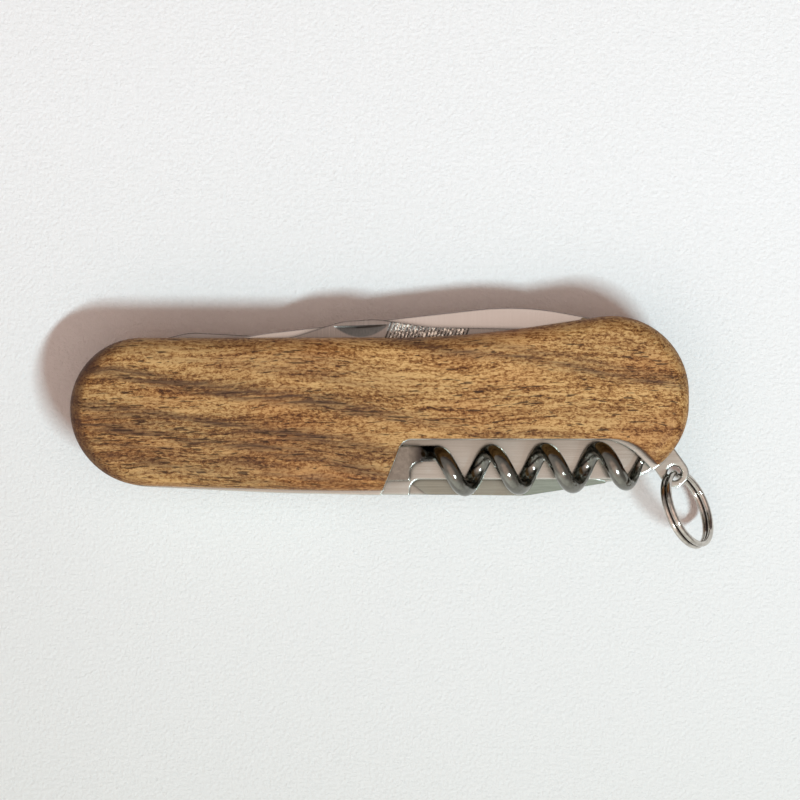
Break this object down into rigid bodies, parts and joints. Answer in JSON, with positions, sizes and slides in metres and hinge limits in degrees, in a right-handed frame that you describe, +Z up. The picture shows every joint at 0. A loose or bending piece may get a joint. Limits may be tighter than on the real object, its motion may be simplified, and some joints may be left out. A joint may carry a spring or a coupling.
{
  "type": "folding pocket knife",
  "caption": "Closed folding pocket knife with rounded wooden scales, folding blade, nail file and openers, a corkscrew and reamer along its back, and a split key ring on a lug.",
  "frame": {"origin": "middle of the handle on the outer face of the rear scale, which lies on the table", "axes": "+X along the handle towards the key ring, +Y across it towards the blade side, +Z up through its thickness towards the corkscrew side"},
  "size_m": [0.0892, 0.0334, 0.0162],
  "materials": {
    "walnut": "oiled, satin",
    "liner_steel": "brushed",
    "spring_steel": "ground",
    "tool_steel": "fine ground",
    "dark_steel": "polished",
    "rivet_steel": "turned",
    "bush_brass": "turned",
    "ring_chrome": "polished"
  },
  "bodies": {
    "handle": {"front_scale": "walnut", "rear_scale": "walnut", "front_liner": "liner_steel", "centre_liner": "liner_steel", "rear_liner": "liner_steel", "front_spring": "spring_steel", "rear_spring": "spring_steel", "left_rivet": "rivet_steel", "right_rivet": "rivet_steel", "spring_rivet": "rivet_steel", "corkscrew_pin": "rivet_steel", "left_rivet_bushes": "bush_brass", "right_rivet_bushes": "bush_brass", "spring_rivet_bushes": "bush_brass"},
    "blade": {"large_blade": "tool_steel"},
    "file": {"nail_file": "tool_steel"},
    "can_opener": {"can_opener": "tool_steel"},
    "bottle_opener": {"bottle_opener": "tool_steel"},
    "corkscrew": {"corkscrew": "dark_steel"},
    "reamer": {"reamer": "tool_steel"},
    "key_ring": {"key_ring": "ring_chrome"}
  },
  "joints": [
    {"name": "blade_pivot", "type": "hinge", "parent": "handle", "child": "blade", "pos_m": [-0.0359, 0.0002, 0.0099], "axis": [0, 0, 1], "range_deg": [0, 180]},
    {"name": "file_pivot", "type": "hinge", "parent": "handle", "child": "file", "pos_m": [0.0359, 0.00217, 0.0099], "axis": [0, 0, -1], "range_deg": [0, 180]},
    {"name": "can_opener_pivot", "type": "hinge", "parent": "handle", "child": "can_opener", "pos_m": [-0.0359, 0.0002, 0.0061], "axis": [0, 0, 1], "range_deg": [0, 180]},
    {"name": "bottle_opener_pivot", "type": "hinge", "parent": "handle", "child": "bottle_opener", "pos_m": [0.0359, 0.00217, 0.0061], "axis": [0, 0, -1], "range_deg": [0, 180]},
    {"name": "corkscrew_pivot", "type": "hinge", "parent": "handle", "child": "corkscrew", "pos_m": [0.0002, -0.008, 0.0099], "axis": [0, 0, -1], "range_deg": [0, 90]},
    {"name": "reamer_pivot", "type": "hinge", "parent": "handle", "child": "reamer", "pos_m": [0.0002, -0.008, 0.0061], "axis": [0, 0, -1], "range_deg": [0, 90]},
    {"name": "key_ring_swing", "type": "hinge", "parent": "handle", "child": "key_ring", "pos_m": [0.041, -0.0095, 0.0079], "axis": [0, 0, 1], "range_deg": [-15, 50]}
  ]
}
